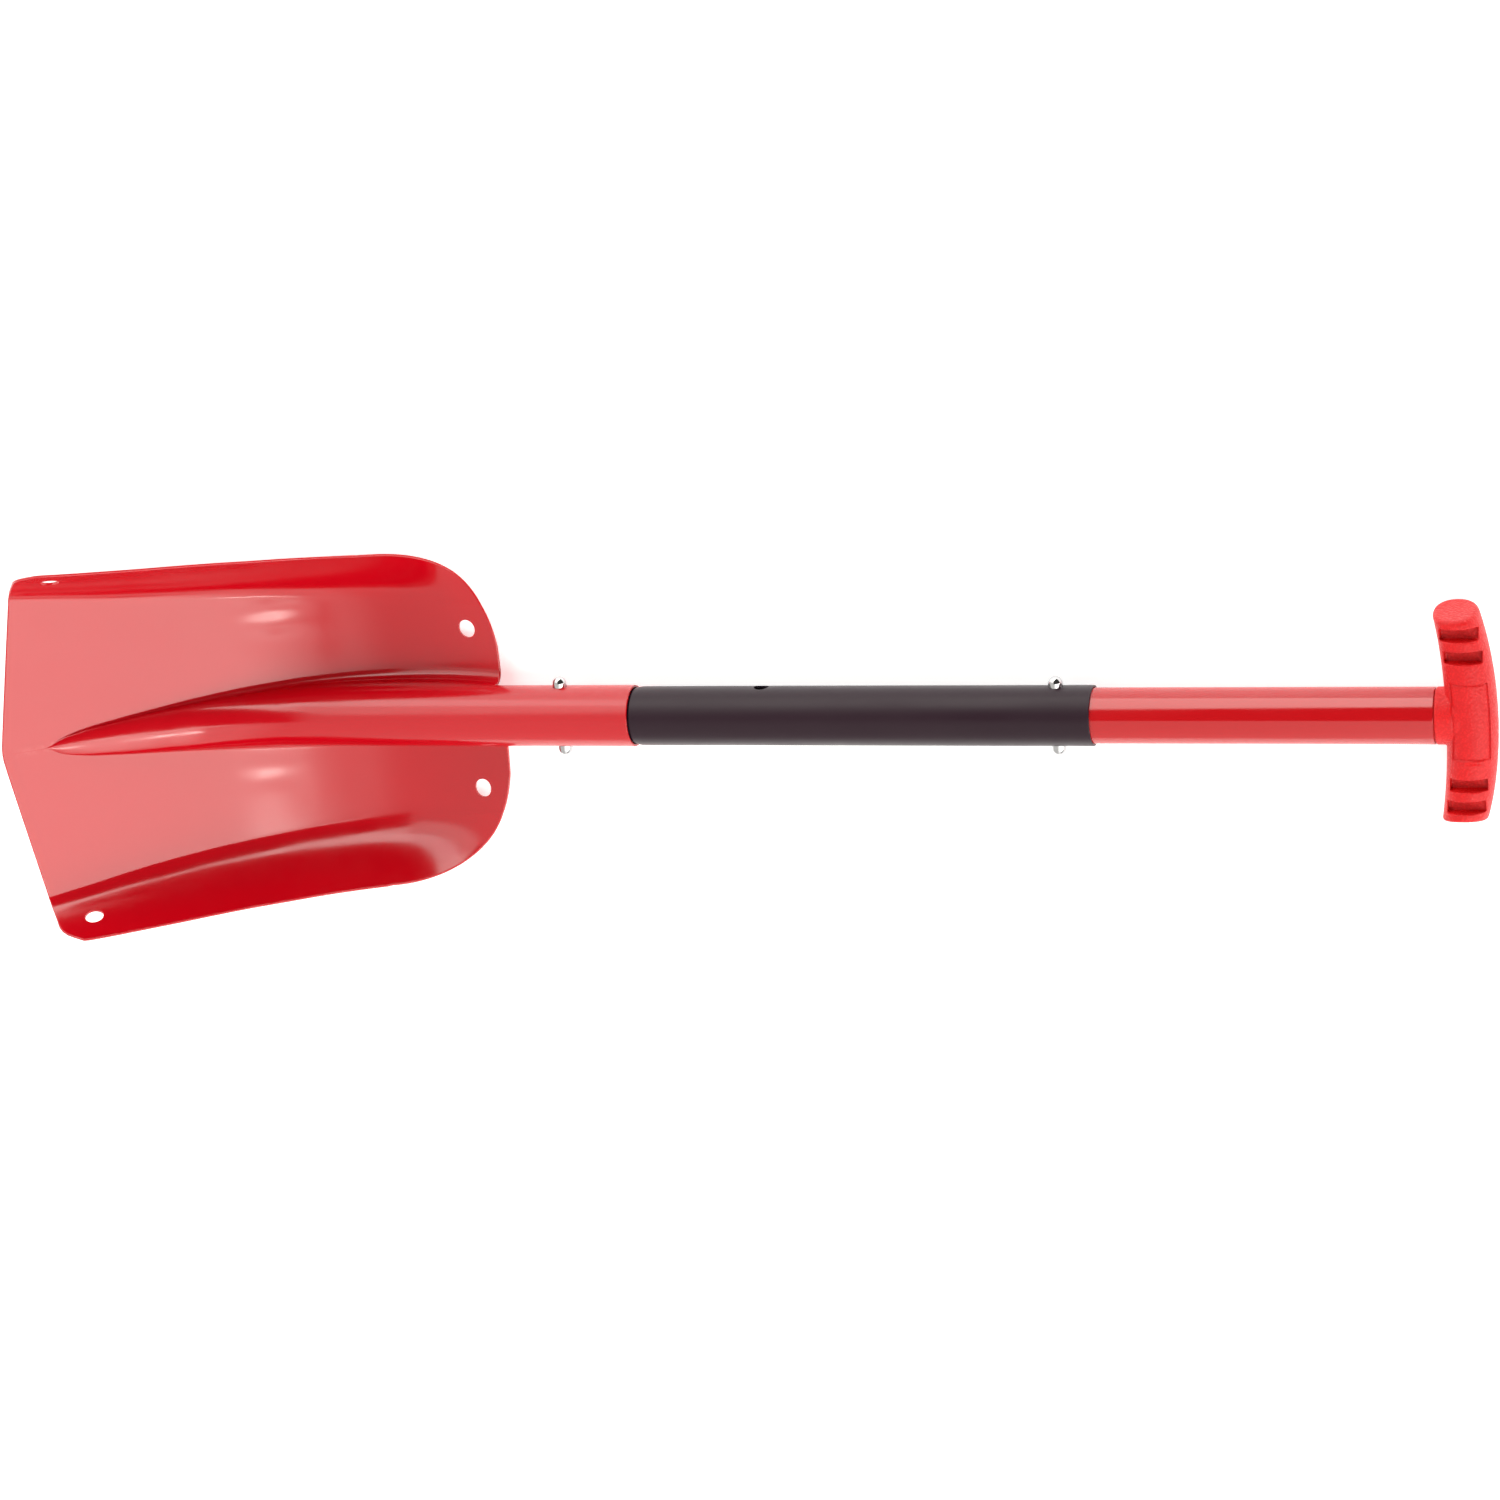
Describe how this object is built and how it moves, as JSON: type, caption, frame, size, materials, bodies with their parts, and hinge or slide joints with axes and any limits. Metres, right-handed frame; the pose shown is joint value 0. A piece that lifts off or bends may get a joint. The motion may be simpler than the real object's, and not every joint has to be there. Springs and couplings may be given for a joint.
{
  "type": "avalanche shovel",
  "caption": "Collapsible avalanche shovel: ribbed scoop blade on a rolled socket, removable middle tube, telescoping handle tube with T-grip, and sprung snap buttons.",
  "frame": {"origin": "on the shaft axis, halfway along the black middle tube", "axes": "+X along the shaft towards the T-grip, +Y across to the left side of the blade, +Z out of the open side of the scoop"},
  "size_m": [0.8133, 0.2108, 0.1139],
  "materials": {
    "red_blade": "gloss red powder coat on pressed aluminium",
    "black_tube": "satin black anodised",
    "red_tube": "satin red anodised",
    "red_plastic": "fine-grained moulded plastic",
    "chrome": "polished",
    "spring_steel": "bare spring steel"
  },
  "bodies": {
    "blade": {"blade": "red_blade"},
    "middle_shaft": {"middle_tube": "black_tube", "lower_spring_clip": "spring_steel"},
    "handle": {"handle_tube": "red_tube", "upper_spring_clip": "spring_steel", "t_grip": "red_plastic", "grip_rivet": "chrome"},
    "lower_left_snap": {"lower_button_left": "chrome"},
    "lower_right_snap": {"lower_button_right": "chrome"},
    "upper_left_snap": {"upper_button_left": "chrome"},
    "upper_right_snap": {"upper_button_right": "chrome"}
  },
  "joints": [
    {"name": "socket_slide", "type": "slide", "parent": "blade", "child": "middle_shaft", "axis": [1, 0, 0], "range_m": [0, 0.09], "deforming": ["lower_spring_clip", "lower_button_left", "lower_button_right"]},
    {"name": "telescope", "type": "slide", "parent": "middle_shaft", "child": "handle", "axis": [1, 0, 0], "range_m": [-0.163, 0.06], "deforming": ["upper_spring_clip", "upper_button_left", "upper_button_right"]},
    {"name": "lower_left_press", "type": "slide", "parent": "middle_shaft", "child": "lower_left_snap", "axis": [0, -1, 0], "range_m": [0, 0.0072], "stiffness_N_per_m": 2000, "springref_m": -0.002, "deforming": ["lower_spring_clip"]},
    {"name": "lower_right_press", "type": "slide", "parent": "middle_shaft", "child": "lower_right_snap", "axis": [0, 1, 0], "range_m": [0, 0.0072], "stiffness_N_per_m": 2000, "springref_m": -0.002, "deforming": ["lower_spring_clip"]},
    {"name": "upper_left_press", "type": "slide", "parent": "handle", "child": "upper_left_snap", "axis": [0, -1, 0], "range_m": [0, 0.0069], "stiffness_N_per_m": 2000, "springref_m": -0.002, "deforming": ["upper_spring_clip"]},
    {"name": "upper_right_press", "type": "slide", "parent": "handle", "child": "upper_right_snap", "axis": [0, 1, 0], "range_m": [0, 0.0069], "stiffness_N_per_m": 2000, "springref_m": -0.002, "deforming": ["upper_spring_clip"]}
  ]
}
